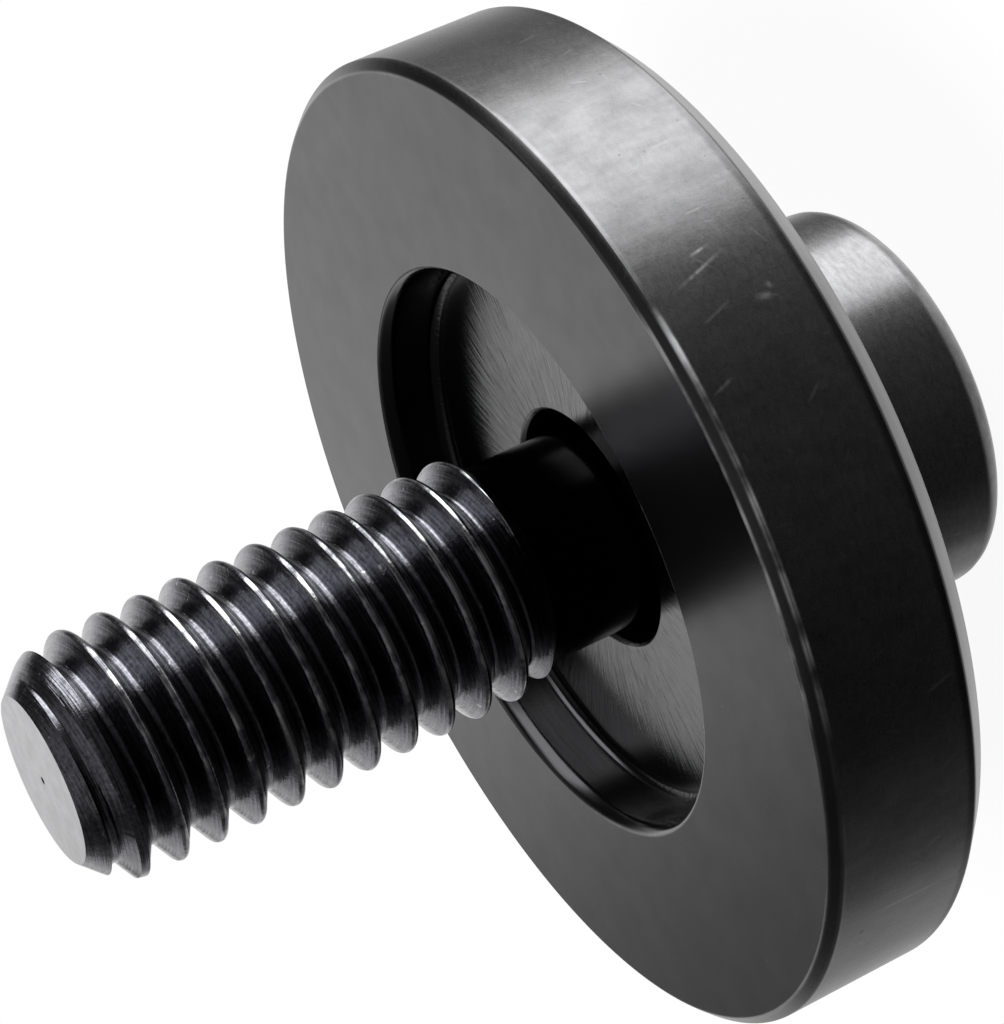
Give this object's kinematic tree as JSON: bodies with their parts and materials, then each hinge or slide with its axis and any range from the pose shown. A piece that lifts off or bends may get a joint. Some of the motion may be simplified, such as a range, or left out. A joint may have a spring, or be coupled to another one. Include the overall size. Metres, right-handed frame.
{
  "type": "locking screw",
  "caption": "Socket head screw with a loose, thick, recessed flange disc under its head, for clamping a part against the disc's face.",
  "frame": {"origin": "centre of the head's flat top, on which the screw stands", "axes": "+Z along the screw's axis, from the head to the tip; +X and +Y are level, with a corner of the socket on +X"},
  "size_m": [0.025, 0.025, 0.0235],
  "materials": {
    "screw_steel": "black oxide, satin",
    "disc_steel": "black oxide, fine turned satin"
  },
  "bodies": {
    "root": {"screw": "screw_steel", "disc": "disc_steel"}
  },
  "joints": []
}
